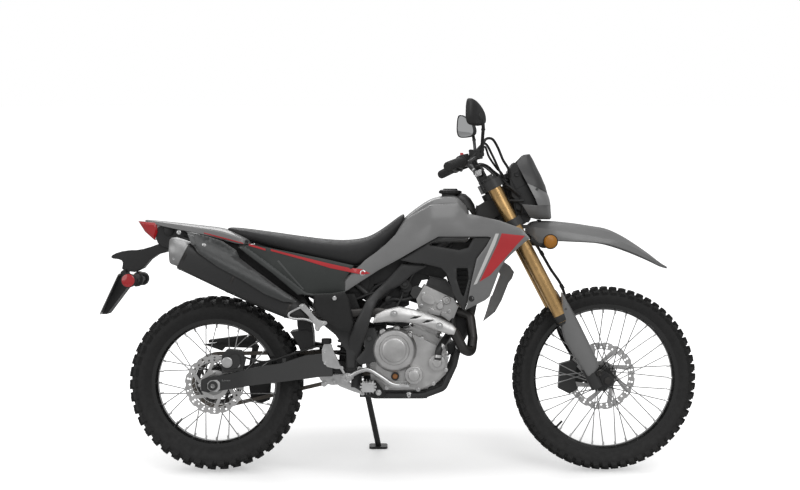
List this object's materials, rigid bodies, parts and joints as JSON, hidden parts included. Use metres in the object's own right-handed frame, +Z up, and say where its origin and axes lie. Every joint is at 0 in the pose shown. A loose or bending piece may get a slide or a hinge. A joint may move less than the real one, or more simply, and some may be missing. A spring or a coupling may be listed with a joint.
{
  "type": "dual sport motorcycle",
  "caption": "Light dual sport motorcycle leaning on its side stand, with steering, turning wheels and a folding stand.",
  "frame": {"origin": "on the floor, under the middle of the whole machine's box", "axes": "+X forward, +Y to the machine's left, towards which it leans by 10 degrees, +Z up"},
  "size_m": [2.2262, 0.8729, 1.4388],
  "materials": {
    "black_frame": "satin",
    "engine_black": "satin",
    "engine_silver": "satin",
    "exhaust_steel": "satin",
    "muffler_black": "matte",
    "satin_silver": "satin",
    "gold_anodised": "satin",
    "bright_steel": "satin",
    "black_rim": "gloss",
    "leg_black": "satin",
    "chain_steel": "satin",
    "tyre_rubber": "matte",
    "black_plastic": "matte",
    "grey_plastic": "satin",
    "dark_plastic": "satin",
    "lens_amber": "gloss",
    "seat_vinyl": "matte",
    "hose_rubber": "matte",
    "lens_clear": "gloss",
    "lens_red": "gloss",
    "plate_white": "satin"
  },
  "bodies": {
    "chassis": {"chain": "chain_steel", "chain_guard": "black_plastic", "clutch_cover": "engine_silver", "cylinder": "engine_silver", "engine_cases": "engine_silver", "exhaust_pipe": "exhaust_steel", "exhaust_shields": "dark_plastic", "foot_controls": "satin_silver", "frame": "black_frame", "fuel_tank": "grey_plastic", "generator_cover": "engine_silver", "intake": "black_plastic", "knee_panels": "dark_plastic", "licence_plate": "plate_white", "muffler": "muffler_black", "radiator": "leg_black", "rear_caliper": "leg_black", "rear_fender": "black_plastic", "rear_signals": "black_plastic", "seat": "seat_vinyl", "shock": "engine_black", "shrouds": "grey_plastic", "side_covers": "dark_plastic", "stand_bracket": "black_frame", "subframe": "black_frame", "swingarm": "black_frame", "tail_cowl": "grey_plastic", "tail_light": "lens_red", "tank_cap": "black_plastic"},
    "steering": {"bar_controls": "black_plastic", "brake_hose": "hose_rubber", "control_cables": "hose_rubber", "fork_guards": "grey_plastic", "fork_legs": "leg_black", "fork_tubes": "gold_anodised", "front_caliper": "leg_black", "front_fender": "grey_plastic", "front_signals": "lens_amber", "grips": "hose_rubber", "handlebar": "black_frame", "headlight_lens": "lens_clear", "headlight_mask": "grey_plastic", "instrument": "black_plastic", "mirrors": "black_plastic", "triple_clamps": "black_frame"},
    "front_wheel": {"front_disc": "bright_steel", "front_hub": "satin_silver", "front_rim": "black_rim", "front_tyre": "tyre_rubber"},
    "rear_wheel": {"rear_disc": "bright_steel", "rear_hub": "satin_silver", "rear_rim": "black_rim", "rear_sprocket": "bright_steel", "rear_tyre": "tyre_rubber"},
    "side_stand": {"side_stand": "black_frame"}
  },
  "joints": [
    {"name": "steer", "type": "hinge", "parent": "chassis", "child": "steering", "pos_m": [0.33307, -0.03708, 1.03246], "axis": [-0.4617, 0.154, 0.8735], "range_deg": [-40, 40]},
    {"name": "front_spin", "type": "hinge", "parent": "steering", "child": "front_wheel", "pos_m": [0.76806, -0.15862, 0.34317], "axis": [0, 0.9848, -0.1736], "continuous": true},
    {"name": "rear_spin", "type": "hinge", "parent": "chassis", "child": "rear_wheel", "pos_m": [-0.68693, -0.16176, 0.32537], "axis": [0, 0.9848, -0.1736], "continuous": true},
    {"name": "stand_fold", "type": "hinge", "parent": "chassis", "child": "side_stand", "pos_m": [-0.12693, -0.03708, 0.26074], "axis": [0, 0.9659, 0.2588], "range_deg": [0, 95]}
  ]
}
